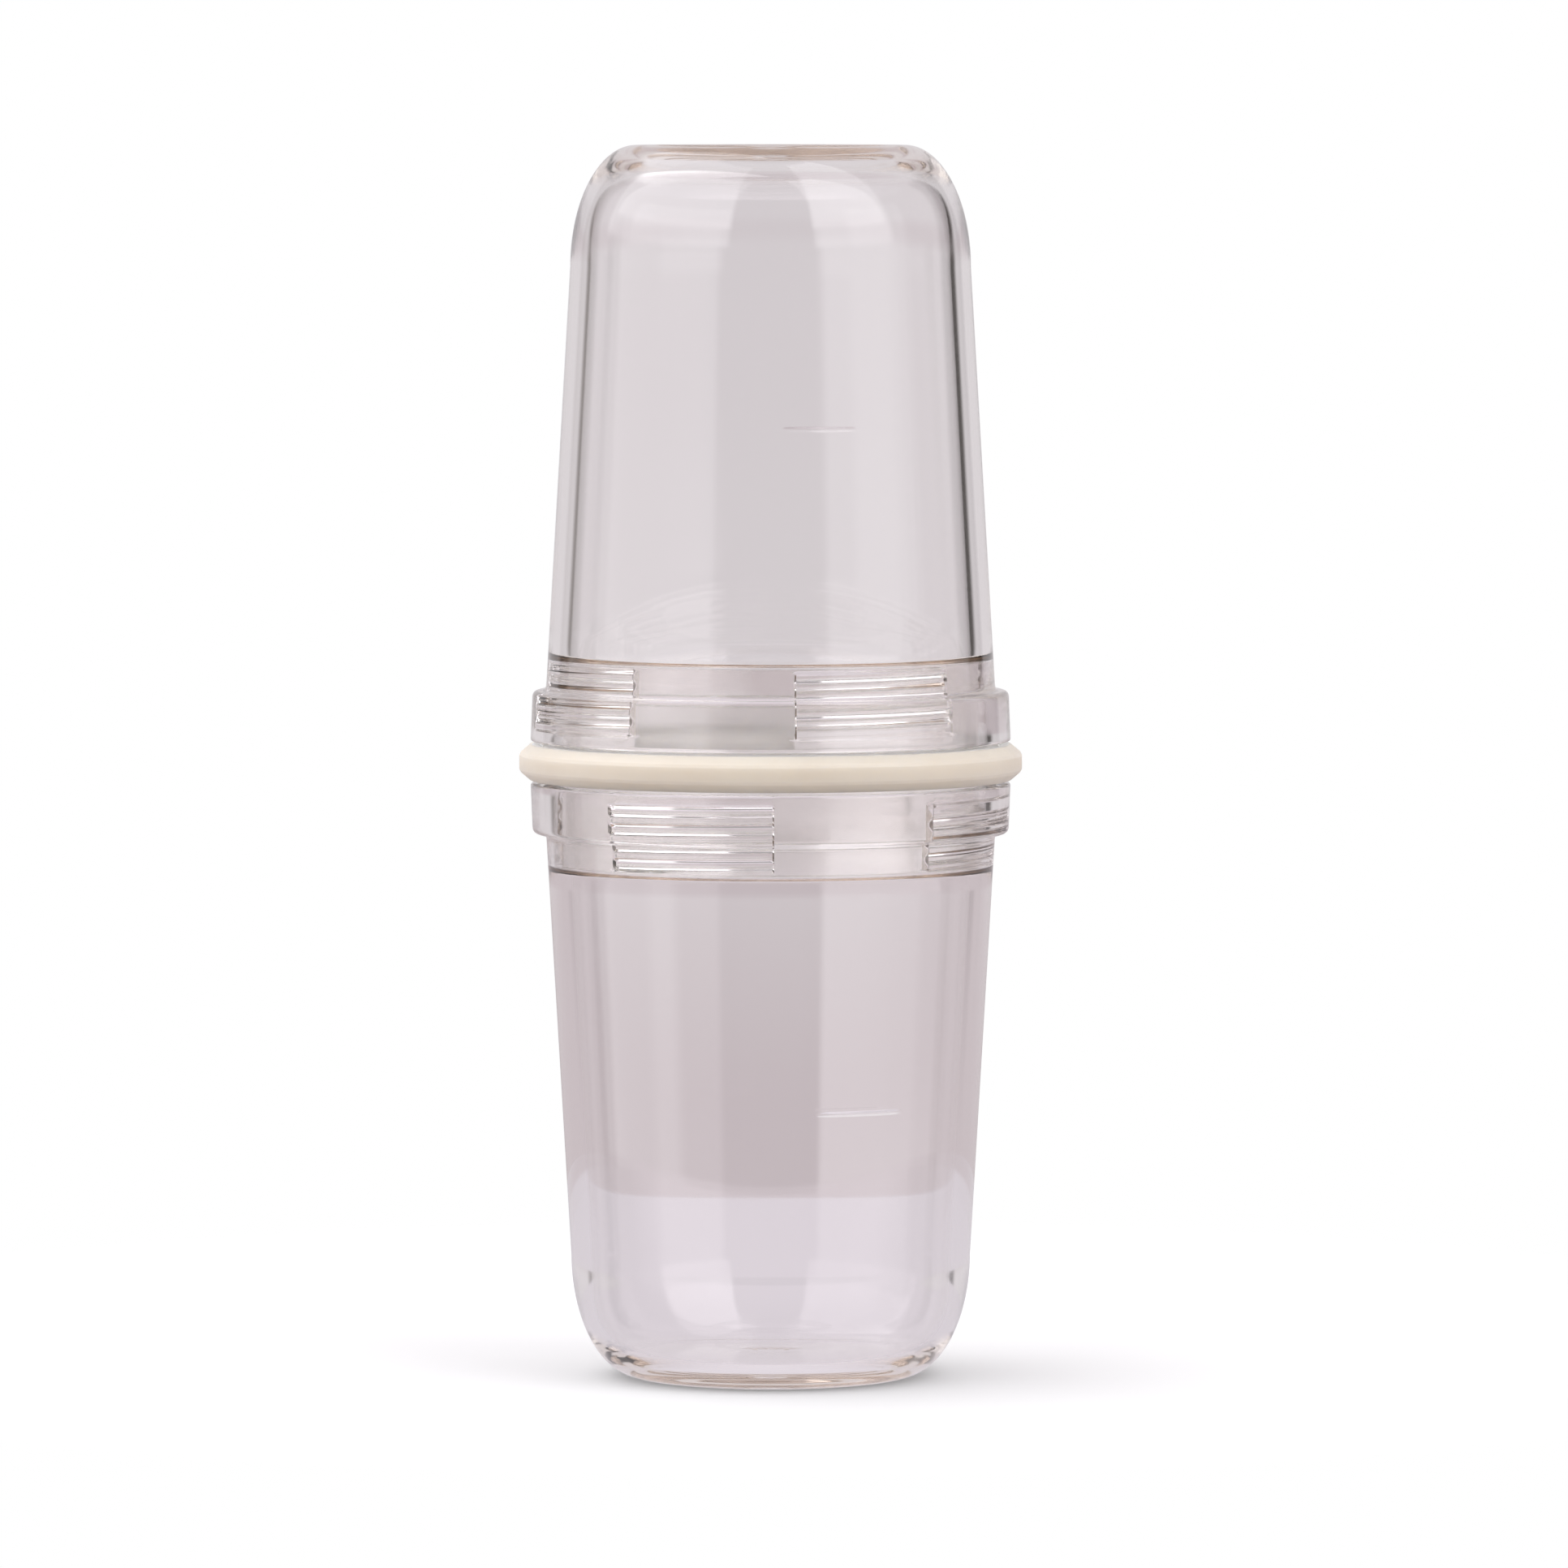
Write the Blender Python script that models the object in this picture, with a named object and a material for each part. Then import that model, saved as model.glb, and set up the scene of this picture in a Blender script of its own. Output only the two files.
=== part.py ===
"""Clear twin-cup vessel: two identical tapered cups screwed mouth to mouth on a double-ended threaded sleeve.

Metres, +Z up. The origin is the centre of the lower cup's flat end, so the vessel stands on z = 0.
Heights called t are measured from the joint's middle plane, along the axis and away from it; side is +1 for
the upper cup's half and -1 for the lower's. Angles start at the front (-Y) and grow towards +X, which is
anticlockwise seen from above.
"""

import math

import bmesh
import bpy

MM = 0.001

# Whole object
HALF_HEIGHT = 75.9 * MM
GAP = 0.3 * MM
COLUMNS = 48
SHARP_ANGLE = 30

# Cup, outside
RIM_T = 2.6 * MM
COLLAR_END_T = 8.8 * MM
COLLAR_R = 29.6 * MM
COLLAR_DRAFT = 0.25 * MM
COLLAR_CORNER = 1.4 * MM
RIM_CORNER = 0.35 * MM
NECK_R = 27.7 * MM
SHOULDER_T = 60.9 * MM
SHOULDER_R = 24.65 * MM
END_DISC_R = 16.55 * MM
GATE_R = 2.25 * MM
GATE_DEPTH = 0.6 * MM

# Cup, inside
STEP_T = 12.9 * MM
BORE_R = 24.75 * MM
WALL = 2.5 * MM
END_PLATE = 2.7 * MM
FLOOR_R = 15.2 * MM
INNER_POWER = 2.6
MOUTH_R = 26.75 * MM

# Fill line: a low rib on the outside of each cup
FILL_T = 41.5 * MM
FILL_PROUD = 0.25 * MM
FILL_HEIGHT = 0.6 * MM
FILL_ANGLES = {1: (5, 22), -1: (15, 35)}
FILL_STEP = 5

# Threads: right-handed, one start, cut into four blocks with clear gaps between
PITCH = 2.15 * MM
RIDGE = 0.7 * MM
RIDGE_BASE = 1.16 * MM
RIDGE_CREST = 0.56 * MM
RIDGE_SUNK = 0.35
THREAD_CLEARANCE = 0.35 * MM
TURNS = range(-4, 5)
BLOCKS = 4
BLOCK_WIDTH = 45.5
BLOCK_MIDDLE = {1: 29.2, -1: -22.0}
THREAD_T = {1: 10.65 * MM, -1: 6.96 * MM}
CUP_THREAD_ZONE = (4.6 * MM, 12.3 * MM)
SLEEVE_THREAD_ZONE = (4.6 * MM, 11.85 * MM)
RIDGE_STEP = 11.4

# Connector
SLEEVE_BORE_R = 24.45 * MM
SLEEVE_R = MOUTH_R - RIDGE - THREAD_CLEARANCE
SLEEVE_END_T = 12.5 * MM
SLEEVE_CHAMFER = 0.35 * MM
FLANGE_R = 29.0 * MM
FLANGE_HALF = 1.0 * MM

# Seals and ring
SEAL_THICK = 1.0 * MM
SEAL_T = FLANGE_HALF + GAP
SEAL_INNER_R = SLEEVE_R + RIDGE + GAP
SEAL_OUTER_R = 28.1 * MM
SEAL_EDGE = 0.25 * MM
RING_R = 31.0 * MM
RING_HALF = 2.2 * MM
RING_EDGE = 1.3 * MM
RING_LIP_R = SEAL_OUTER_R + GAP
RING_GROOVE_R = FLANGE_R + GAP


def clear_scene():
    for item in list(bpy.data.objects):
        bpy.data.objects.remove(item, do_unlink=True)


def material(name, colour, roughness, transmission=0.0):
    made = bpy.data.materials.new(name)
    made.use_nodes = True
    shader = made.node_tree.nodes["Principled BSDF"]
    shader.inputs["Base Color"].default_value = (*colour, 1.0)
    shader.inputs["Roughness"].default_value = roughness
    shader.inputs["Metallic"].default_value = 0.0
    shader.inputs["Transmission Weight"].default_value = transmission
    return made


def arc(centre, radii, start, end, steps, power=2.0):
    """Points (r, t) on a quarter of an ellipse, or of a squarer curve where power is above 2. The angles are in
    degrees, and 0 points away from the axis."""
    points = []
    for i in range(steps + 1):
        turn = math.radians(start + (end - start) * i / steps)
        across = max(0.0, math.cos(turn)) ** (2 / power)
        up = max(0.0, math.sin(turn)) ** (2 / power)
        points.append((centre[0] + radii[0] * across, centre[1] + radii[1] * up))
    return points


def at(angle, radius, t, side):
    """The point at an angle, a radius and a height from the middle plane."""
    turn = math.radians(angle)
    return radius * math.sin(turn), -radius * math.cos(turn), HALF_HEIGHT + side * t


def finished(name, mesh_data, look):
    mesh_data.normal_update()
    bmesh.ops.recalc_face_normals(mesh_data, faces=mesh_data.faces)
    mesh = bpy.data.meshes.new(name)
    mesh_data.to_mesh(mesh)
    mesh_data.free()
    mesh.shade_smooth()
    mesh.set_sharp_from_angle(angle=math.radians(SHARP_ANGLE))
    if look is not None:
        mesh.materials.append(look)
    item = bpy.data.objects.new(name, mesh)
    bpy.context.scene.collection.objects.link(item)
    return item


def turned(name, outline, side, look):
    """A solid of revolution. An outline that starts and ends on the axis closes there; any other one is a loop."""
    data = bmesh.new()
    rings = []
    for radius, t in outline:
        if radius == 0:
            rings.append([data.verts.new(at(0, 0, t, side))])
        else:
            rings.append([data.verts.new(at(360 * i / COLUMNS, radius, t, side)) for i in range(COLUMNS)])
    pairs = list(zip(rings, rings[1:]))
    if outline[0][0] > 0:
        pairs.append((rings[-1], rings[0]))
    for low, high in pairs:
        for i in range(COLUMNS):
            j = (i + 1) % COLUMNS
            corners = [low[i % len(low)], low[j % len(low)], high[j % len(high)], high[i % len(high)]]
            data.faces.new(list(dict.fromkeys(corners)))
    return finished(name, data, look)


def bar(data, angles, section, side):
    """A closed bar swept round the axis: section gives its corner points (r, t) at an angle."""
    rings = [[data.verts.new(at(a, radius, t, side)) for radius, t in section(a)] for a in angles]
    size = len(rings[0])
    for near, far in zip(rings, rings[1:]):
        for i in range(size):
            j = (i + 1) % size
            data.faces.new([near[i], near[j], far[j], far[i]])
    data.faces.new(rings[0])
    data.faces.new(list(reversed(rings[-1])))


def spread(start, end, step):
    count = max(1, round((end - start) / step))
    return [start + (end - start) * i / count for i in range(count + 1)]


def thread_ridges(name, side, root_r, crest_r, offset, zone):
    """The four blocks of helical ridges on one wall, as a tool to be joined to that wall."""
    data = bmesh.new()
    sunk_r = root_r + (root_r - crest_r) * RIDGE_SUNK
    foot = RIDGE_BASE / 2 + (RIDGE_BASE - RIDGE_CREST) / 2 * RIDGE_SUNK
    crest = RIDGE_CREST / 2
    for block in range(BLOCKS):
        middle = BLOCK_MIDDLE[side] + block * 360 / BLOCKS
        middle = (middle + 180) % 360 - 180
        climb = side * PITCH * (middle - BLOCK_MIDDLE[side]) / 360
        for turn in TURNS:
            centre_t = THREAD_T[side] + offset + climb + turn * PITCH
            if not zone[0] < centre_t < zone[1]:
                continue

            def section(angle, centre_t=centre_t, middle=middle):
                t = centre_t + side * PITCH * (angle - middle) / 360
                return [(sunk_r, t - foot), (crest_r, t - crest), (crest_r, t + crest), (sunk_r, t + foot)]

            angles = spread(middle - BLOCK_WIDTH / 2, middle + BLOCK_WIDTH / 2, RIDGE_STEP)
            bar(data, angles, section, side)
    return finished(name, data, None)


def fill_line(name, side):
    data = bmesh.new()
    slope = (SHOULDER_R - NECK_R) / (SHOULDER_T - COLLAR_END_T)
    wall_r = NECK_R + slope * (FILL_T - COLLAR_END_T)
    half = FILL_HEIGHT / 2

    def section(angle):
        return [
            (wall_r - 2 * FILL_PROUD, FILL_T - half),
            (wall_r + FILL_PROUD, FILL_T - half / 2),
            (wall_r + FILL_PROUD, FILL_T + half / 2),
            (wall_r - 2 * FILL_PROUD, FILL_T + half),
        ]

    bar(data, spread(*FILL_ANGLES[side], FILL_STEP), section, side)
    return finished(name, data, None)


def join_to(target, tool):
    """Adds a tool to a piece with a Boolean modifier, and keeps the tool out of the model."""
    cut = target.modifiers.new(tool.name, "BOOLEAN")
    cut.operation = "UNION"
    cut.solver = "EXACT"
    cut.object = tool
    tool.hide_render = True
    tool.display_type = "WIRE"


def cup_outline():
    collar_edge = COLLAR_R - COLLAR_DRAFT
    corner_r, corner_t = collar_edge - COLLAR_CORNER, COLLAR_END_T - COLLAR_CORNER
    end_t, floor_t = HALF_HEIGHT, HALF_HEIGHT - END_PLATE
    inner_shoulder = SHOULDER_R - WALL
    return [
        (0, end_t - GATE_DEPTH),
        (GATE_R - GATE_DEPTH / 2, end_t - GATE_DEPTH),
        (GATE_R, end_t),
        *reversed(
            arc((END_DISC_R, SHOULDER_T), (SHOULDER_R - END_DISC_R, end_t - SHOULDER_T), 0, 90, 8)
        ),
        (NECK_R, COLLAR_END_T),
        *reversed(arc((corner_r, corner_t), (COLLAR_CORNER, COLLAR_CORNER), 0, 90, 2)),
        (COLLAR_R, RIM_T + RIM_CORNER),
        (COLLAR_R - RIM_CORNER, RIM_T),
        (MOUTH_R + RIM_CORNER, RIM_T),
        (MOUTH_R, RIM_T + RIM_CORNER),
        (MOUTH_R, STEP_T),
        (BORE_R, STEP_T),
        *arc(
            (FLOOR_R, SHOULDER_T), (inner_shoulder - FLOOR_R, floor_t - SHOULDER_T), 0, 90, 8, INNER_POWER
        ),
        (0, floor_t),
    ]


def cup(name, side, look):
    shell = turned(name, cup_outline(), side, look)
    join_to(shell, thread_ridges(name + "_threads", side, MOUTH_R, MOUTH_R - RIDGE, 0, CUP_THREAD_ZONE))
    join_to(shell, fill_line(name + "_fill_line", side))
    return shell


def connector(look):
    half = [
        (SLEEVE_BORE_R + SLEEVE_CHAMFER, SLEEVE_END_T),
        (SLEEVE_R - SLEEVE_CHAMFER, SLEEVE_END_T),
        (SLEEVE_R, SLEEVE_END_T - SLEEVE_CHAMFER),
        (SLEEVE_R, FLANGE_HALF),
        (FLANGE_R, FLANGE_HALF),
    ]
    lower = [(radius, -t) for radius, t in reversed(half)]
    bore_end = SLEEVE_END_T - SLEEVE_CHAMFER
    bore = [(SLEEVE_BORE_R, -bore_end), (SLEEVE_BORE_R, bore_end)]
    piece = turned("connector", half + lower + bore, 1, look)
    for side, label in ((1, "upper"), (-1, "lower")):
        ridges = thread_ridges(
            f"connector_{label}_threads", side, SLEEVE_R, SLEEVE_R + RIDGE, -PITCH / 2, SLEEVE_THREAD_ZONE
        )
        join_to(piece, ridges)
    return piece


def centre_ring(look):
    edge = (RING_R - RING_EDGE, RING_HALF - RING_EDGE)
    groove_half = FLANGE_HALF + GAP
    half = [
        (RING_GROOVE_R, groove_half),
        (RING_LIP_R, groove_half),
        (RING_LIP_R, RING_HALF),
        *reversed(arc(edge, (RING_EDGE, RING_EDGE), 0, 90, 3)),
    ]
    lower = [(radius, -t) for radius, t in reversed(half)]
    return turned("centre_ring", half + lower, 1, look)


def seal(name, side, look):
    low, high = SEAL_T, SEAL_T + SEAL_THICK
    outline = [
        (SEAL_INNER_R, low),
        (SEAL_INNER_R, high - SEAL_EDGE),
        (SEAL_INNER_R + SEAL_EDGE, high),
        (SEAL_OUTER_R - SEAL_EDGE, high),
        (SEAL_OUTER_R, high - SEAL_EDGE),
        (SEAL_OUTER_R, low),
    ]
    return turned(name, outline, side, look)


def main():
    clear_scene()
    cup("lower_cup", -1, material("lower_cup", (0.86, 0.84, 0.86), 0.05, 1.0))
    cup("upper_cup", 1, material("upper_cup", (0.86, 0.84, 0.86), 0.05, 1.0))
    connector(material("connector", (0.87, 0.85, 0.85), 0.06, 1.0))
    centre_ring(material("centre_ring", (0.83, 0.79, 0.70), 0.42))
    seal("lower_seal", -1, material("lower_seal", (0.80, 0.79, 0.77), 0.35, 0.6))
    seal("upper_seal", 1, material("upper_seal", (0.80, 0.79, 0.77), 0.35, 0.6))


main()
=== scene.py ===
"""Clear twin-cup vessel: the look of two clear moulded cups, their threaded sleeve and its ivory ring.

Metres, +Z up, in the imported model's frame. Heights called t run from the joint's middle plane, away from
it; side is +1 for the upper cup's half and -1 for the lower's. Angles start at the front (-Y) and grow
towards +X.
"""

import math

import bpy
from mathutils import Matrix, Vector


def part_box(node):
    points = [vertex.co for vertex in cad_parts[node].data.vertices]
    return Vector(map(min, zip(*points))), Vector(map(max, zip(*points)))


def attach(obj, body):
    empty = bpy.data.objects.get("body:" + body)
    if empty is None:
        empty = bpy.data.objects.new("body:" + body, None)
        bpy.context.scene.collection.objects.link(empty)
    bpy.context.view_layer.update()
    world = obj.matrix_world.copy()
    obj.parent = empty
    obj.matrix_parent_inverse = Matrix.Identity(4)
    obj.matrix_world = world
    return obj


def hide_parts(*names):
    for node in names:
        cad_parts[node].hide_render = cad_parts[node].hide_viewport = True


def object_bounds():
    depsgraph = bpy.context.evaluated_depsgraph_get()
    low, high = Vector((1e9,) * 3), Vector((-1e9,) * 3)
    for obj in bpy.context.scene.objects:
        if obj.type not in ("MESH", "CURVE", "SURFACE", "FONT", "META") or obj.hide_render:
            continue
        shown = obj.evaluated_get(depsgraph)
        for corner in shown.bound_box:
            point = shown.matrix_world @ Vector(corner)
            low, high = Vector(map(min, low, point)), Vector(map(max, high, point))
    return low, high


MM = 0.001

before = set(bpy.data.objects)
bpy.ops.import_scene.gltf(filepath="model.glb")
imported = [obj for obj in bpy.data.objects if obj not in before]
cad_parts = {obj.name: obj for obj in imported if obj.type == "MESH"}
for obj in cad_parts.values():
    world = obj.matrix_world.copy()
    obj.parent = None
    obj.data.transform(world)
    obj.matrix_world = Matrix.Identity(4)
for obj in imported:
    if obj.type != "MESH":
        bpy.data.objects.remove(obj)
cad_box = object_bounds()

# The frame gives the overall sizes and the places of the joint's parts
BASE_Z, TOP_Z = cad_box[0][2], cad_box[1][2]
HALF_HEIGHT = (TOP_Z - BASE_Z) / 2
MIDDLE_Z = BASE_Z + HALF_HEIGHT
CUP_LOW, CUP_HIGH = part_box("upper_cup")
RING_LOW, RING_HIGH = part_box("centre_ring")
SLEEVE_LOW, SLEEVE_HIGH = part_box("connector")
SEAL_LOW, SEAL_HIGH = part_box("upper_seal")

RIM_T = CUP_LOW[2] - MIDDLE_Z
COLLAR_R = CUP_HIGH[0]
RING_R = RING_HIGH[0]
RING_HALF = RING_HIGH[2] - MIDDLE_Z
SLEEVE_END_T = SLEEVE_HIGH[2] - MIDDLE_Z
FLANGE_R = SLEEVE_HIGH[0]
SEAL_OUTER_R = SEAL_HIGH[0]
SEAL_T = SEAL_LOW[2] - MIDDLE_Z
SEAL_THICK = SEAL_HIGH[2] - SEAL_LOW[2]

# Cup walls
COLLAR_END_T = 8.8 * MM
COLLAR_DRAFT = 0.25 * MM
COLLAR_CORNER = 1.4 * MM
RIM_CORNER = 0.35 * MM
NECK_R = 27.7 * MM
NECK_FILLET = 0.8 * MM
SHOULDER_T = 60.9 * MM
SHOULDER_R = 24.65 * MM
END_DISC_R = 16.55 * MM
STEP_T = 12.9 * MM
STEP_FILLET = 0.5 * MM
BORE_R = 24.75 * MM
WALL = 2.5 * MM
END_PLATE = 2.7 * MM
FLOOR_R = 15.2 * MM
INNER_POWER = 2.6
MOUTH_R = 26.75 * MM
GATE_R = 2.25 * MM
GATE_DEPTH = 0.6 * MM
GATE_EDGE = 0.2 * MM
GATE_SLOPE = 0.35 * MM
GATE_PIP_R = 0.55 * MM
GATE_PIP_TOP_R = 0.33 * MM
GATE_PIP = 0.4 * MM
GATE_PIP_EDGE = 0.12 * MM
GATE_PIP_FOOT = 0.1 * MM
END_DISC_FLAT_R = END_DISC_R - 0.4 * MM
SHOULDER_ROWS = 48
DOME_ROWS = 56

# Threads
PITCH = 2.15 * MM
RIDGE = 0.7 * MM
RIDGE_FOOT = 0.92 * MM
RIDGE_CREST = 0.1 * MM
BLOCKS = 4
BLOCK_WIDTH = 45.5
BLOCK_EDGE = 0.2
BLOCK_MIDDLE = {1: 29.2, -1: -22.0}
THREAD_T = {1: 10.65 * MM, -1: 6.96 * MM}
CUP_THREAD_ZONE = (4.6 * MM, 12.3 * MM)
SLEEVE_THREAD_ZONE = (4.6 * MM, 11.85 * MM)
PAD = 0.18 * MM
THREAD_START_T = 3.9 * MM
THREAD_ROW = PITCH / 20
THREAD_FADE = 0.4 * MM

# Fill line
FILL_T = 41.5 * MM
FILL_PROUD = 0.22 * MM
FILL_HALF = 0.3 * MM
FILL_ANGLES = {1: (5.2, 21.6), -1: (15.3, 35.5)}
FILL_END_FADE = 0.8
FILL_CREST = 0.3
FILL_ROWS = 15
FILL_REACH = 1.4
WALL_SLOPE = (SHOULDER_R - NECK_R) / (SHOULDER_T - COLLAR_END_T)

# Connector, seals and ring
SLEEVE_BORE_R = 24.45 * MM
SLEEVE_R = MOUTH_R - RIDGE - 0.35 * MM
SLEEVE_TIP = 0.3 * MM
FLANGE_HALF = 1.0 * MM
SMALL_EDGE = 0.26 * MM
SEAL_INNER_R = SLEEVE_R + RIDGE + 0.3 * MM
SEAL_BEAD = 0.18 * MM
SEAL_BEAD_HALF = 0.3 * MM
SEAL_BEAD_EDGE = 0.2 * MM
SEAL_BEAD_FOOT = 0.1 * MM
SEAL_EDGE = 0.15 * MM
SEAL_SEAM = 0.05 * MM
RING_EDGE = 1.35 * MM
RING_LIP_R = SEAL_OUTER_R + 0.3 * MM
RING_GROOVE_R = FLANGE_R + 0.3 * MM
RING_GROOVE_HALF = FLANGE_HALF + 0.3 * MM
RING_GROOVE_EDGE = 0.1 * MM
RING_LIP_EDGE = 0.15 * MM
RING_INNER_EDGE = 0.3 * MM
RING_CHAMFER = (0.22 * MM, 0.95 * MM)
RING_TOP_EDGE = 0.25 * MM
RING_CHAMFER_EDGE = 0.5 * MM
RING_OUTER_EDGE = 0.35 * MM
RING_ROW = 0.5 * MM

# Mesh: columns in degrees, rows in metres
COLUMN_STEP = 1.5
COLUMN_CLEARANCE = 0.35 * COLUMN_STEP
SHARP_ANGLE = 38
TURNS = range(-4, 5)
LONG_STEP = 2.0 * MM
SAME_R = 1e-7
ON_AXIS = 1e-9


# ---------------------------------------------------------------- shapes


def at(angle, radius, t, side):
    turn = math.radians(angle)
    return radius * math.sin(turn), -radius * math.cos(turn), MIDDLE_Z + side * t


def smoothstep(low, high, value):
    x = min(1.0, max(0.0, (value - low) / (high - low)))
    return x * x * (3 - 2 * x)


def wrapped(angle):
    return (angle + 180) % 360 - 180


def arc(centre, radii, start, end, steps, power=2.0):
    """Points (r, t) on a quarter of an ellipse, or of a squarer curve where power is above 2."""
    points = []
    for i in range(steps + 1):
        turn = math.radians(start + (end - start) * i / steps)
        across, up = max(0.0, math.cos(turn)) ** (2 / power), max(0.0, math.sin(turn)) ** (2 / power)
        points.append((centre[0] + radii[0] * across, centre[1] + radii[1] * up))
    return points


def filleted(corners, steps=4):
    """An outline through corners (r, t, fillet radius), each rounded by a curve that meets both sides."""
    points = []
    for i, (r, t, size) in enumerate(corners):
        if size == 0 or i in (0, len(corners) - 1):
            points.append((r, t))
            continue
        before = (corners[i - 1][0] - r, corners[i - 1][1] - t)
        after = (corners[i + 1][0] - r, corners[i + 1][1] - t)
        length_a, length_b = math.hypot(*before), math.hypot(*after)
        a = (before[0] / length_a, before[1] / length_a)
        b = (after[0] / length_b, after[1] / length_b)
        half_angle = math.acos(max(-1.0, min(1.0, a[0] * b[0] + a[1] * b[1]))) / 2
        back = min(size / math.tan(half_angle), 0.48 * length_a, 0.48 * length_b)
        start = (r + a[0] * back, t + a[1] * back)
        end = (r + b[0] * back, t + b[1] * back)
        for j in range(steps + 1):
            u = j / steps
            points.append(
                (
                    (1 - u) ** 2 * start[0] + 2 * u * (1 - u) * r + u * u * end[0],
                    (1 - u) ** 2 * start[1] + 2 * u * (1 - u) * t + u * u * end[1],
                )
            )
    return points


def filled_in(points, step):
    """The same outline with no stretch longer than step."""
    made = [points[0]]
    for near, far in zip(points, points[1:]):
        count = max(1, math.ceil(math.hypot(far[0] - near[0], far[1] - near[1]) / step))
        for i in range(1, count + 1):
            made.append(tuple(near[k] + (far[k] - near[k]) * i / count for k in (0, 1)))
    return made


def columns(extra=()):
    """Column angles all the way round, with a close pair at each angle in extra."""
    even = [COLUMN_STEP * i for i in range(round(360 / COLUMN_STEP))]
    close = [(a + d) % 360 for a in extra for d in (-BLOCK_EDGE, BLOCK_EDGE)]
    kept = [a for a in even if all(abs(wrapped(a - c)) > COLUMN_CLEARANCE for c in close)]
    return sorted(kept + close)


def block_edges(side):
    middles = [BLOCK_MIDDLE[side] + k * 360 / BLOCKS for k in range(BLOCKS)]
    return [m + s * BLOCK_WIDTH / 2 for m in middles for s in (-1, 1)]


def thread_relief(side, offset, zone, start_t, end_t):
    """The thread on a wall between start_t and end_t. The function made gives, at an angle and a t, how far
    the thread stands off the wall and how far the rows there climb, so that they run along the ridges."""
    blocks = []
    half = BLOCK_WIDTH / 2
    for k in range(BLOCKS):
        middle = wrapped(BLOCK_MIDDLE[side] + k * 360 / BLOCKS)
        climb = side * PITCH * (middle - BLOCK_MIDDLE[side]) / 360
        starts = [THREAD_T[side] + offset + climb + turn * PITCH for turn in TURNS]
        blocks.append((middle, [t for t in starts if zone[0] < t < zone[1]]))

    def relief(angle, t):
        middle, centres = min(blocks, key=lambda block: abs(wrapped(angle - block[0])))
        away = wrapped(angle - middle)
        slope = side * PITCH / 360
        if abs(away) <= half:
            rise = slope * away
        else:
            rise = math.copysign(slope * half * (180 / BLOCKS - abs(away)) / (180 / BLOCKS - half), away)
        ends = smoothstep(start_t, start_t + THREAD_FADE, t) * smoothstep(end_t, end_t - THREAD_FADE, t)
        rise *= ends
        inside = ends * smoothstep(half + BLOCK_EDGE, half - BLOCK_EDGE, abs(away))
        if inside == 0:
            return 0.0, rise
        gaps = [abs(t + rise - centre - slope * away) for centre in centres]
        ridge = max(smoothstep(RIDGE_FOOT, RIDGE_CREST, gap) for gap in gaps)
        return inside * (PAD + (RIDGE - PAD) * ridge), rise

    return relief


def lathe(name, outline, side, angles, relief=None):
    """A turned body. relief(angle, r, t) gives what is added to the radius and to t at each point."""
    verts, faces, rings = [], [], []
    for radius, t in outline:
        if radius < ON_AXIS:
            rings.append([len(verts)])
            verts.append(at(0, 0, t, side))
            continue
        ring = []
        for angle in angles:
            out, along = relief(angle, radius, t) if relief else (0.0, 0.0)
            ring.append(len(verts))
            verts.append(at(angle, radius + out, t + along, side))
        rings.append(ring)
    pairs = list(zip(rings, rings[1:]))
    if outline[0][0] > ON_AXIS:
        pairs.append((rings[-1], rings[0]))
    count = len(angles)
    for low, high in pairs:
        for i in range(count):
            j = (i + 1) % count
            corners = [low[i % len(low)], low[j % len(low)], high[j % len(high)], high[i % len(high)]]
            if side > 0:
                corners.reverse()
            faces.append(list(dict.fromkeys(corners)))
    mesh = bpy.data.meshes.new(name)
    mesh.from_pydata(verts, [], faces)
    mesh.validate()
    mesh.shade_smooth()
    mesh.set_sharp_from_angle(angle=math.radians(SHARP_ANGLE))
    item = bpy.data.objects.new(name, mesh)
    bpy.context.scene.collection.objects.link(item)
    return item


# ---------------------------------------------------------------- materials

# Long ways through the clear plastic come out warmer
DEEP_TINT = (0.75, 0.55, 0.35)
DEEP_TINT_PER_METRE = 8.0
STREAKS = 0.04
BUMP_STRENGTH = 0.35

CUP_PLASTIC = {
    "light": (0.985, 0.975, 0.98),
    "deep": (0.975, 0.962, 0.97),
    "ior": 1.5,
    "rough": 0.03,
    "wave": 0.05 * MM,
    "shade": (0.985, 0.982, 0.984),
}
# The sleeve is a little frosted
SLEEVE_PLASTIC = {
    "light": (1.0, 0.992, 0.985),
    "deep": (0.985, 0.972, 0.965),
    "ior": 1.46,
    "rough": 0.22,
    "wave": 0.04 * MM,
    "shade": (0.985, 0.98, 0.978),
}
IVORY = ((0.62, 0.56, 0.485), (0.65, 0.595, 0.52))
# Painted light: the ring's inner side is given a much paler colour than its outside, standing in for light
# its shaded inner side doesn't get
IVORY_INSIDE_PAINTED_LIGHT = (0.95, 0.93, 0.89)
IVORY_SCATTER = (1.0, 0.95, 0.85)
IVORY_SCATTER_SCALE = 4.0 * MM
SILICONE = ((0.80, 0.79, 0.76), (0.88, 0.87, 0.85))
SILICONE_SHADE = (0.95, 0.945, 0.94)

# Sizes of the materials' patterns, in waves per metre
TINT_SCALE = 28.0
WAVE_SCALE = 22.0
STREAK_SCALE = 240.0
POLISH_SCALE = 160.0
IVORY_CLOUD_SCALE = 60.0
IVORY_SHEEN_SCALE = 420.0
IVORY_GRAIN_SCALE = 2600.0
SILICONE_CLOUD_SCALE = 90.0
SILICONE_SHEEN_SCALE = 300.0


def new_material(name):
    made = bpy.data.materials.new(name)
    made.use_nodes = True
    tree = made.node_tree
    return made, tree, tree.nodes["Principled BSDF"], tree.nodes["Material Output"]


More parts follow.
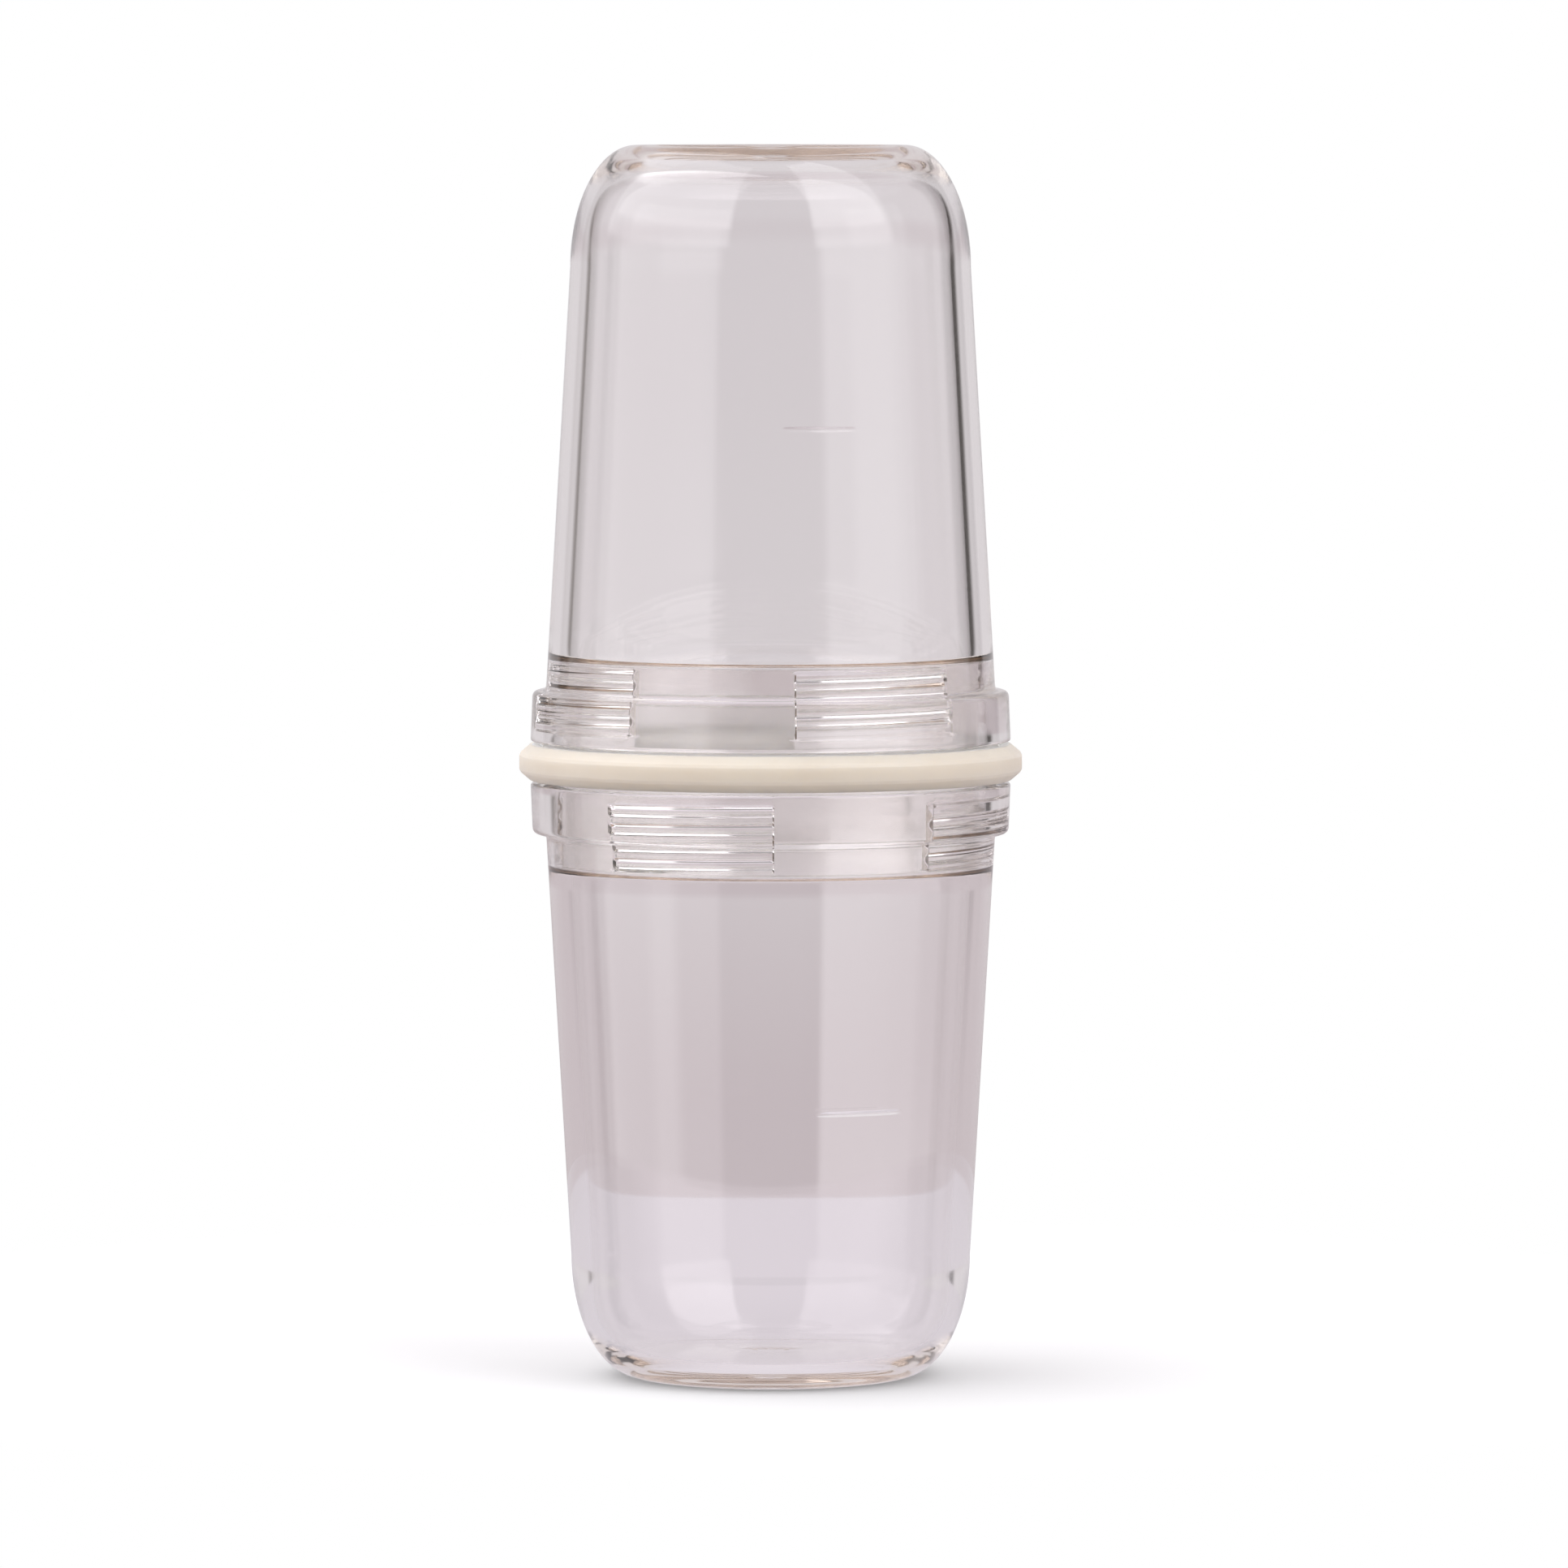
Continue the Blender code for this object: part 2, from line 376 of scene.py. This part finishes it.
def node(tree, kind, settings=(), **inputs):
    """A node with its properties and inputs set, to a value or a socket: i0, i1 by place, others by name."""
    made = tree.nodes.new(kind)
    for key, value in dict(settings).items():
        setattr(made, key, value)
    for key, value in inputs.items():
        by_index = key[0] == "i" and key[1:].isdigit()
        socket = made.inputs[int(key[1:]) if by_index else key.replace("_", " ")]
        if isinstance(value, bpy.types.NodeSocket):
            tree.links.new(value, socket)
        else:
            socket.default_value = value
    return made


def maths(tree, operation, *values):
    settings = {"operation": operation}
    return node(tree, "ShaderNodeMath", settings, **{f"i{k}": v for k, v in enumerate(values)}).outputs[0]


def noise(tree, scale, detail=3.0, stretch=None):
    place = tree.nodes.new("ShaderNodeTexCoord").outputs["Object"]
    if stretch:
        place = node(tree, "ShaderNodeMapping", Vector=place, Scale=stretch).outputs[0]
    made = node(tree, "ShaderNodeTexNoise", Vector=place, Scale=scale, Detail=detail, Roughness=0.55)
    return made.outputs["Fac"]


def spread(tree, value, low, high, start=0.3, end=0.7):
    made = node(tree, "ShaderNodeMapRange", i0=value, i1=start, i2=end, i3=low, i4=high)
    return made.outputs[0]


def smooth_range(tree, value, start, end, low=0.0, high=1.0):
    settings = {"interpolation_type": "SMOOTHSTEP"}
    return node(tree, "ShaderNodeMapRange", settings, i0=value, i1=start, i2=end, i3=low, i4=high).outputs[0]


def mixed_colour(tree, value, low, high):
    made = node(tree, "ShaderNodeMix", {"data_type": "RGBA"}, i0=value)
    made.inputs[6].default_value = (*low, 1.0)
    made.inputs[7].default_value = (*high, 1.0)
    return made.outputs[2]


def lamps_shine_through(tree, shader, output, shade):
    """Gives a see-through surface a light shade in place of a dark shadow."""
    shadow = tree.nodes.new("ShaderNodeLightPath").outputs["Is Shadow Ray"]
    way = node(tree, "ShaderNodeBsdfTransparent", Color=(*shade, 1.0))
    mix = node(tree, "ShaderNodeMixShader", i0=shadow, i1=shader.outputs[0], i2=way.outputs[0])
    tree.links.new(mix.outputs[0], output.inputs["Surface"])


def clear_plastic(name, light, deep, ior, rough, wave, shade):
    """Clear moulded plastic: a faint tint, soft flow waves from the mould, and polish that varies a little.
    Lamps shine through it with a light shade instead of casting a dark one."""
    made, tree, shader, output = new_material(name)
    shader.inputs["Transmission Weight"].default_value = 1.0
    shader.inputs["IOR"].default_value = ior
    shader.inputs["Metallic"].default_value = 0.0
    tint = mixed_colour(tree, spread(tree, noise(tree, TINT_SCALE), 0.0, 1.0), light, deep)
    tree.links.new(tint, shader.inputs["Base Color"])
    polish = spread(tree, noise(tree, POLISH_SCALE, 5.0), rough * 0.4, rough)
    tree.links.new(polish, shader.inputs["Roughness"])
    waves = noise(tree, WAVE_SCALE, 2.0, stretch=(1.0, 1.0, 0.35))
    streaks = noise(tree, STREAK_SCALE, 2.0, stretch=(1.0, 1.0, 0.03))
    flow = maths(tree, "MULTIPLY_ADD", streaks, STREAKS, waves)
    bump = node(tree, "ShaderNodeBump", Strength=BUMP_STRENGTH, Distance=wave, Height=flow)
    tree.links.new(bump.outputs[0], shader.inputs["Normal"])
    lamps_shine_through(tree, shader, output, shade)
    depth = node(tree, "ShaderNodeVolumeAbsorption", Color=(*DEEP_TINT, 1.0), Density=DEEP_TINT_PER_METRE)
    tree.links.new(depth.outputs[0], output.inputs["Volume"])
    return made


def ivory_plastic(name):
    made, tree, shader, _ = new_material(name)
    cloud = spread(tree, noise(tree, IVORY_CLOUD_SCALE, 4.0), 0.0, 1.0)
    outside = mixed_colour(tree, cloud, *IVORY)
    place = tree.nodes.new("ShaderNodeTexCoord").outputs["Object"]
    level = (1.0, 1.0, 0.0)
    flat = node(tree, "ShaderNodeVectorMath", {"operation": "MULTIPLY"}, i0=place, i1=level).outputs[0]
    radius = node(tree, "ShaderNodeVectorMath", {"operation": "LENGTH"}, i0=flat).outputs["Value"]
    # Painted light: from the groove inward the ring takes the paler inside colour, so that its shaded inner
    # side looks lit
    edge = RING_GROOVE_R + RING_INNER_EDGE
    painted_light_inside = node(tree, "ShaderNodeMapRange", i0=radius, i1=edge, i2=RING_GROOVE_R).outputs[0]
    mix = node(tree, "ShaderNodeMix", {"data_type": "RGBA"}, i0=painted_light_inside)
    tree.links.new(outside, mix.inputs[6])
    mix.inputs[7].default_value = (*IVORY_INSIDE_PAINTED_LIGHT, 1.0)
    tree.links.new(mix.outputs[2], shader.inputs["Base Color"])
    sheen = spread(tree, noise(tree, IVORY_SHEEN_SCALE, 4.0), 0.34, 0.5)
    tree.links.new(sheen, shader.inputs["Roughness"])
    grain = noise(tree, IVORY_GRAIN_SCALE, 3.0)
    bump = node(tree, "ShaderNodeBump", Strength=0.12, Distance=0.02 * MM, Height=grain)
    tree.links.new(bump.outputs[0], shader.inputs["Normal"])
    shader.inputs["Subsurface Weight"].default_value = 1.0
    shader.inputs["Subsurface Radius"].default_value = IVORY_SCATTER
    shader.inputs["Subsurface Scale"].default_value = IVORY_SCATTER_SCALE
    shader.inputs["IOR"].default_value = 1.47
    return made


def silicone(name):
    made, tree, shader, output = new_material(name)
    cloud = spread(tree, noise(tree, SILICONE_CLOUD_SCALE, 3.0), 0.0, 1.0)
    tree.links.new(mixed_colour(tree, cloud, *SILICONE), shader.inputs["Base Color"])
    sheen = spread(tree, noise(tree, SILICONE_SHEEN_SCALE, 3.0), 0.3, 0.45)
    tree.links.new(sheen, shader.inputs["Roughness"])
    shader.inputs["Transmission Weight"].default_value = 0.55
    shader.inputs["IOR"].default_value = 1.41
    lamps_shine_through(tree, shader, output, SILICONE_SHADE)
    return made


# ---------------------------------------------------------------- pieces


def dressed(item, look, body, replaced):
    item.data.materials.append(look)
    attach(item, body)
    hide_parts(replaced)
    return item


def cup_outline():
    """The outline from the outside of the closed end, over the collar and rim, to the inside of the end."""
    collar_edge = COLLAR_R - COLLAR_DRAFT
    inner_shoulder, floor_t = SHOULDER_R - WALL, HALF_HEIGHT - END_PLATE
    end_t = HALF_HEIGHT
    gate = filleted(
        [
            (0, end_t - GATE_DEPTH + GATE_PIP, 0),
            (GATE_PIP_TOP_R, end_t - GATE_DEPTH + GATE_PIP, GATE_PIP_EDGE),
            (GATE_PIP_R, end_t - GATE_DEPTH, GATE_PIP_FOOT),
            (GATE_R - GATE_SLOPE, end_t - GATE_DEPTH, GATE_EDGE),
            (GATE_R, end_t, GATE_EDGE),
            (END_DISC_FLAT_R, end_t, 0),
        ]
    )
    shoulder_radii = (SHOULDER_R - END_DISC_R, end_t - SHOULDER_T)
    shoulder = arc((END_DISC_R, SHOULDER_T), shoulder_radii, 90, 0, SHOULDER_ROWS)
    outer = filleted(
        [
            (SHOULDER_R, SHOULDER_T, 0),
            (NECK_R, COLLAR_END_T, NECK_FILLET),
            (collar_edge, COLLAR_END_T, COLLAR_CORNER),
            (COLLAR_R, RIM_T, RIM_CORNER),
            (MOUTH_R, RIM_T, RIM_CORNER),
            (MOUTH_R, THREAD_START_T, 0),
        ],
        steps=6,
    )
    threaded = STEP_T - STEP_FILLET - THREAD_START_T
    rows = math.ceil(threaded / THREAD_ROW)
    mouth = [(MOUTH_R, THREAD_START_T + threaded * i / rows) for i in range(1, rows + 1)]
    step = filleted(
        [
            (MOUTH_R, STEP_T - STEP_FILLET, 0),
            (MOUTH_R, STEP_T, STEP_FILLET),
            (BORE_R, STEP_T, STEP_FILLET),
            (inner_shoulder, SHOULDER_T, 0),
        ]
    )
    dome_radii = (inner_shoulder - FLOOR_R, floor_t - SHOULDER_T)
    dome = arc((FLOOR_R, SHOULDER_T), dome_radii, 0, 90, DOME_ROWS, INNER_POWER)
    wall = fill_rows(filled_in(outer, LONG_STEP))
    return (
        filled_in(gate, LONG_STEP)
        + shoulder
        + wall[1:]
        + mouth
        + filled_in(step[1:], LONG_STEP)
        + dome[1:]
        + filled_in([(FLOOR_R, floor_t), (0, floor_t)], LONG_STEP)[1:]
    )


def wall_radius(t):
    """The outer wall's radius between the collar and the shoulder."""
    return NECK_R + WALL_SLOPE * (t - COLLAR_END_T)


def fill_rows(points):
    """Adds close rows where the fill line stands on the outer wall."""
    rows = [FILL_T + FILL_HALF * FILL_REACH * (1 - 2 * i / (FILL_ROWS - 1)) for i in range(FILL_ROWS)]
    kept = [p for p in points if abs(p[1] - FILL_T) > 2 * FILL_HALF]
    above = [p for p in kept if p[1] > FILL_T]
    below = [p for p in kept if p[1] < FILL_T]
    return above + [(wall_radius(t), t) for t in rows] + below


def cup(side, name, replaced, look):
    last_t = STEP_T - STEP_FILLET
    threads = thread_relief(side, 0.0, CUP_THREAD_ZONE, THREAD_START_T, last_t)
    start, end = FILL_ANGLES[side]

    def relief(angle, radius, t):
        if abs(radius - MOUTH_R) < SAME_R and THREAD_START_T < t < last_t:
            out, along = threads(angle, t)
            return -out, along
        away = abs(t - FILL_T)
        if away < FILL_HALF and abs(radius - wall_radius(t)) < SAME_R:
            turn = wrapped(angle)
            begun = smoothstep(start - FILL_END_FADE, start + FILL_END_FADE, turn)
            unended = smoothstep(end + FILL_END_FADE, end - FILL_END_FADE, turn)
            return FILL_PROUD * begun * unended * smoothstep(FILL_HALF, FILL_CREST * FILL_HALF, away), 0.0
        return 0.0, 0.0

    item = lathe(name, cup_outline(), side, columns(block_edges(side)), relief)
    return dressed(item, look, replaced, replaced)


def sleeve_outline():
    last_t = SLEEVE_END_T - SLEEVE_TIP
    rows = math.ceil((last_t - THREAD_START_T) / THREAD_ROW)
    threads = [(SLEEVE_R, last_t + (THREAD_START_T - last_t) * i / rows) for i in range(rows + 1)]
    end = filleted(
        [
            (SLEEVE_BORE_R, 0, 0),
            (SLEEVE_BORE_R, SLEEVE_END_T, SMALL_EDGE),
            (SLEEVE_R, SLEEVE_END_T, SMALL_EDGE),
            (SLEEVE_R, last_t, 0),
        ]
    )
    flange = filleted(
        [
            (SLEEVE_R, THREAD_START_T, 0),
            (SLEEVE_R, FLANGE_HALF, SMALL_EDGE),
            (FLANGE_R, FLANGE_HALF, SMALL_EDGE),
            (FLANGE_R, 0, 0),
        ]
    )
    upper = filled_in(end, LONG_STEP) + threads[1:] + filled_in(flange, LONG_STEP)[1:]
    lower = [(radius, -t) for radius, t in reversed(upper[1:-1])]
    return upper + lower


def connector(look):
    last_t = SLEEVE_END_T - SLEEVE_TIP
    reliefs = {
        side: thread_relief(side, -PITCH / 2, SLEEVE_THREAD_ZONE, THREAD_START_T, last_t) for side in (1, -1)
    }

    def relief(angle, radius, t):
        if abs(radius - SLEEVE_R) < SAME_R and THREAD_START_T < abs(t) < last_t:
            side = 1 if t > 0 else -1
            out, along = reliefs[side](angle, abs(t))
            return out, side * along
        return 0.0, 0.0

    angles = columns(block_edges(1) + block_edges(-1))
    item = lathe("connector_sleeve", sleeve_outline(), 1, angles, relief)
    return dressed(item, look, "coupling", "connector")


def centre_ring(look):
    half = filleted(
        [
            (RING_GROOVE_R, 0, 0),
            (RING_GROOVE_R, RING_GROOVE_HALF, RING_GROOVE_EDGE),
            (RING_LIP_R, RING_GROOVE_HALF, RING_LIP_EDGE),
            (RING_LIP_R, RING_HALF, RING_INNER_EDGE),
            (RING_R - RING_EDGE, RING_HALF, RING_TOP_EDGE),
            (RING_R - RING_CHAMFER[0], RING_HALF - RING_CHAMFER[1], RING_CHAMFER_EDGE),
            (RING_R, RING_HALF - RING_EDGE, RING_OUTER_EDGE),
            (RING_R, 0, 0),
        ],
        steps=5,
    )
    upper = filled_in(half, RING_ROW)
    lower = [(radius, -t) for radius, t in reversed(upper[1:-1])]
    item = lathe("ivory_grip_ring", upper + lower, 1, columns())
    return dressed(item, look, "coupling", "centre_ring")


def seal(side, name, body, look):
    low, high = SEAL_T, SEAL_T + SEAL_THICK
    middle_r = (SEAL_INNER_R + SEAL_OUTER_R) / 2
    outline = filleted(
        [
            (SEAL_INNER_R, (low + high) / 2, 0),
            (SEAL_INNER_R, high - SEAL_BEAD, SEAL_BEAD_FOOT),
            (middle_r - SEAL_BEAD_HALF, high - SEAL_BEAD, SEAL_BEAD_FOOT),
            (middle_r, high, SEAL_BEAD_EDGE),
            (middle_r + SEAL_BEAD_HALF, high - SEAL_BEAD, SEAL_BEAD_FOOT),
            (SEAL_OUTER_R, high - SEAL_BEAD, SEAL_EDGE),
            (SEAL_OUTER_R, low, SEAL_EDGE),
            (SEAL_INNER_R, low, SEAL_EDGE),
            (SEAL_INNER_R, (low + high) / 2 - SEAL_SEAM, 0),
        ]
    )
    item = lathe(name, outline, side, columns())
    return dressed(item, look, body, body)


# ---------------------------------------------------------------- studio

CAMERA_DISTANCE = 1.25
CAMERA_Z = 145.7 * MM
AIM_X = 1.65 * MM
AIM_Z = 73.1 * MM
LENS = 233.0

PALE = (1.0, 1.0, 1.0)
SURROUND = (0.725, 0.697, 0.715)
STRAIGHT_THROUGH = (0.80, 0.775, 0.79)


def camera():
    data = bpy.data.cameras.new("camera")
    data.lens = LENS
    data.sensor_width = 36.0
    item = bpy.data.objects.new("camera", data)
    item.location = (AIM_X, -CAMERA_DISTANCE, CAMERA_Z)
    tilt = math.atan2(CAMERA_Z - AIM_Z, CAMERA_DISTANCE)
    item.rotation_euler = (math.pi / 2 - tilt, 0, 0)
    bpy.context.scene.collection.objects.link(item)
    bpy.context.scene.camera = item


def straight_through(tree):
    """1 for a sight line straight through clear walls, with no reflection on its way, and 0 for any other."""
    path = tree.nodes.new("ShaderNodeLightPath")
    through = maths(tree, "GREATER_THAN", path.outputs["Transmission Depth"], 0.5)
    unreflected = maths(tree, "LESS_THAN", path.outputs["Glossy Depth"], 0.5)
    return maths(tree, "MULTIPLY", through, unreflected)


def window(tree, value, low, high, soft):
    """1 between low and high, falling to 0 over soft degrees at each end."""
    rise = smooth_range(tree, value, low - soft, low + soft)
    fall = smooth_range(tree, value, high + soft, high - soft)
    return maths(tree, "MULTIPLY", rise, fall)


# Soft boxes and flags of the studio: angles round from the front, angles above the horizon, softness, light
PANELS = (
    ("low back", (-200, 200), (-95, -3.8), 1.2, (0.60, 0.54, 0.563)),
    ("front", (-40, 40), (-95, 60), 6, (0.40, 0.38, 0.39)),
    ("left box", (-103, -31), (-24, 72), 2, (1.15, 1.135, 1.15)),
    ("right box", (31, 78), (-5, 72), 2, (1.15, 1.135, 1.15)),
    ("left box, high", (-112, -24), (10, 72), 2, (1.9, 1.88, 1.92)),
    ("right box, high", (26, 76), (10, 76), 2, (2.5, 2.48, 2.52)),
    ("left box, low", (-53, -26), (-24, -7), 3, (0.45, 0.42, 0.43)),
    ("right box, low", (28, 108), (-24, -9.5), 2, (1.5, 1.47, 1.49)),
    ("left flag", (-141, -128), (-4.5, 34), 3, (0.22, 0.20, 0.19)),
    ("right flag", (124, 143), (-4.5, 34), 3, (0.04, 0.035, 0.03)),
    ("ceiling", (-200, 200), (80, 130), 4, (0.10, 0.085, 0.075)),
    ("right box, over the top", (-152, -102), (40, 90), 4, (2.5, 2.48, 2.52)),
)


def studio_world():
    """A pale room to the camera. To everything else it is a soft grey studio with light boxes and dark flags.
    Sight lines straight through the clear walls meet the boxes no brighter than STRAIGHT_THROUGH, so that the
    walls don't burn out when seen against a box."""
    world = bpy.data.worlds.new("studio")
    world.use_nodes = True
    tree = world.node_tree
    tree.nodes.clear()
    direction = tree.nodes.new("ShaderNodeTexCoord").outputs["Generated"]
    way = node(tree, "ShaderNodeSeparateXYZ", Vector=direction)
    x, y, z = way.outputs
    radians_round = maths(tree, "ARCTAN2", x, maths(tree, "MULTIPLY", y, -1.0))
    round_angle = maths(tree, "DEGREES", radians_round)
    up_angle = maths(tree, "DEGREES", maths(tree, "ARCSINE", z))
    colour = None
    for _, rounds, ups, soft, light in PANELS:
        across, upward = window(tree, round_angle, *rounds, soft), window(tree, up_angle, *ups, soft)
        inside = maths(tree, "MULTIPLY", across, upward)
        mix = node(tree, "ShaderNodeMix", {"data_type": "RGBA"}, i0=inside)
        if colour is None:
            mix.inputs[6].default_value = (*SURROUND, 1.0)
        else:
            tree.links.new(colour, mix.inputs[6])
        mix.inputs[7].default_value = (*light, 1.0)
        colour = mix.outputs[2]
    lower = {"operation": "MINIMUM"}
    calm = node(tree, "ShaderNodeVectorMath", lower, i0=colour, i1=STRAIGHT_THROUGH).outputs[0]
    seen = node(tree, "ShaderNodeMix", {"data_type": "RGBA"}, i0=straight_through(tree))
    tree.links.new(colour, seen.inputs[6])
    tree.links.new(calm, seen.inputs[7])
    room = node(tree, "ShaderNodeBackground", Color=seen.outputs[2], Strength=1.0)
    pale = node(tree, "ShaderNodeBackground", Color=(*PALE, 1.0), Strength=1.0)
    path = tree.nodes.new("ShaderNodeLightPath")
    is_camera = path.outputs["Is Camera Ray"]
    mix = node(tree, "ShaderNodeMixShader", i0=is_camera, i1=room.outputs[0], i2=pale.outputs[0])
    output = tree.nodes.new("ShaderNodeOutputWorld")
    tree.links.new(mix.outputs[0], output.inputs["Surface"])
    bpy.context.scene.world = world


TABLE_R = 0.19
TABLE_Y = 0.045
TABLE_EDGE = 0.004
TABLE_DROP = 0.05 * MM
FADE_R = 0.15
SOLID_R = 0.06
TABLE_GLOW = (0.70, 0.66, 0.705)
FRONT_GLOW = 2.2
FRONT_FADE = 0.08


def floor():
    """A pale round table. The camera sees it fade into the room. Through the clear walls its edge shows."""
    made, tree, shader, output = new_material("pale_floor")
    shader.inputs["Base Color"].default_value = (0.86, 0.86, 0.865, 1.0)
    shader.inputs["Roughness"].default_value = 0.7
    shader.inputs["Specular IOR Level"].default_value = 0.1
    place = tree.nodes.new("ShaderNodeTexCoord").outputs["Object"]
    far = node(tree, "ShaderNodeVectorMath", {"operation": "LENGTH"}, i0=place).outputs["Value"]
    seen = smooth_range(tree, far, FADE_R, SOLID_R)
    solid = smooth_range(tree, far, TABLE_R, TABLE_R - TABLE_EDGE)
    clear = tree.nodes.new("ShaderNodeBsdfTransparent").outputs[0]
    forward = node(tree, "ShaderNodeSeparateXYZ", Vector=place).outputs[1]
    front = smooth_range(tree, forward, -TABLE_Y, -TABLE_Y - FRONT_FADE, 1.0, FRONT_GLOW)
    strength = node(tree, "ShaderNodeMix", i0=straight_through(tree), i2=front, i3=1.0).outputs[0]
    glow = node(tree, "ShaderNodeEmission", Color=(*TABLE_GLOW, 1.0), Strength=strength).outputs[0]
    to_camera = node(tree, "ShaderNodeMixShader", i0=seen, i1=clear, i2=shader.outputs[0]).outputs[0]
    to_rest = node(tree, "ShaderNodeMixShader", i0=solid, i1=clear, i2=glow).outputs[0]
    is_camera = tree.nodes.new("ShaderNodeLightPath").outputs["Is Camera Ray"]
    mix = node(tree, "ShaderNodeMixShader", i0=is_camera, i1=to_rest, i2=to_camera)
    tree.links.new(mix.outputs[0], output.inputs["Surface"])
    mesh = bpy.data.meshes.new("floor")
    turns = [math.radians(3 * i) for i in range(120)]
    edge = [(TABLE_R * math.cos(a), TABLE_R * math.sin(a), 0) for a in turns]
    mesh.from_pydata(edge, [], [list(range(len(edge)))])
    item = bpy.data.objects.new("floor", mesh)
    item.location = (0, TABLE_Y, BASE_Z - TABLE_DROP)
    mesh.materials.append(made)
    bpy.context.scene.collection.objects.link(item)
    item.visible_diffuse = False


# Name, place, size, power
LAMPS = (
    ("overhead_lamp", (0.1, -0.15, 1.1), (0.9, 0.7), 2.2),
    ("left_lamp", (-0.9, -0.4, 0.15), (0.6, 0.8), 0.8),
)
RING_FILL_POWER = 0.028
RING_FILL_R = 8 * MM


def hidden_light(data, place):
    """A lamp that lights surfaces and can't itself be seen, reflected or seen through the clear walls."""
    item = bpy.data.objects.new(data.name, data)
    item.location = place
    item.visible_camera = False
    item.visible_glossy = False
    item.visible_transmission = False
    bpy.context.scene.collection.objects.link(item)
    return item


def lamp(name, place, size, power):
    data = bpy.data.lights.new(name, "AREA")
    data.shape = "RECTANGLE"
    data.size, data.size_y = size
    data.energy = power
    item = hidden_light(data, place)
    x, y, z = place
    item.rotation_euler = (math.atan2(math.hypot(x, y), z - MIDDLE_Z), 0, math.atan2(-y, -x) - math.pi / 2)


def ring_fill(ring):
    """A weak lamp on the axis that lights only the ring, for its inner side, seen through the clear walls."""
    data = bpy.data.lights.new("ring_fill_lamp", "POINT")
    data.shadow_soft_size = RING_FILL_R
    data.energy = RING_FILL_POWER
    item = hidden_light(data, (0, 0, MIDDLE_Z))
    lit = bpy.data.collections.new("ring_fill_lit")
    lit.objects.link(ring)
    item.light_linking.receiver_collection = lit


def render_settings():
    scene = bpy.context.scene
    scene.view_settings.view_transform = "Standard"
    scene.cycles.max_bounces = 40
    scene.cycles.transmission_bounces = 32
    scene.cycles.glossy_bounces = 32
    scene.cycles.transparent_max_bounces = 24
    scene.cycles.caustics_reflective = False
    scene.cycles.caustics_refractive = False


def main():
    camera()
    studio_world()
    for settings in LAMPS:
        lamp(*settings)
    floor()
    render_settings()
    clear = clear_plastic("clear_plastic", **CUP_PLASTIC)
    sleeve = clear_plastic("clear_sleeve", **SLEEVE_PLASTIC)
    cup(1, "upper_cup_shell", "upper_cup", clear)
    cup(-1, "lower_cup_shell", "lower_cup", clear)
    connector(sleeve)
    ring_fill(centre_ring(ivory_plastic("ivory_plastic")))
    rubber = silicone("seal_silicone")
    seal(1, "upper_mouth_seal", "upper_seal", rubber)
    seal(-1, "lower_mouth_seal", "lower_seal", rubber)


main()
